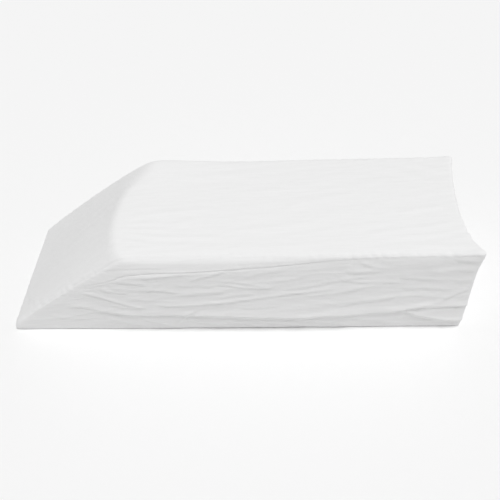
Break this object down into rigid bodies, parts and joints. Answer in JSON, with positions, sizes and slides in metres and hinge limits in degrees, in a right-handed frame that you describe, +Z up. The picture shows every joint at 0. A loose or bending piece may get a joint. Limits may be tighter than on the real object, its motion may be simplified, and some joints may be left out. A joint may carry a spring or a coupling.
{
  "type": "wedge pillow",
  "caption": "Long foam wedge pillow for raising a leg: a ramp up to a long flat top, in a loose plain white sewn cover.",
  "frame": {"origin": "middle of the base, on the surface the pillow lies on", "axes": "+X from the thin end of the ramp to the high end, +Y from the front side to the back side, +Z up"},
  "size_m": [0.6658, 0.2144, 0.158],
  "materials": {
    "cover": "plain woven white cotton and polyester, matt, lightly creased"
  },
  "bodies": {
    "root": {"wedge_pillow": "cover"}
  },
  "joints": []
}
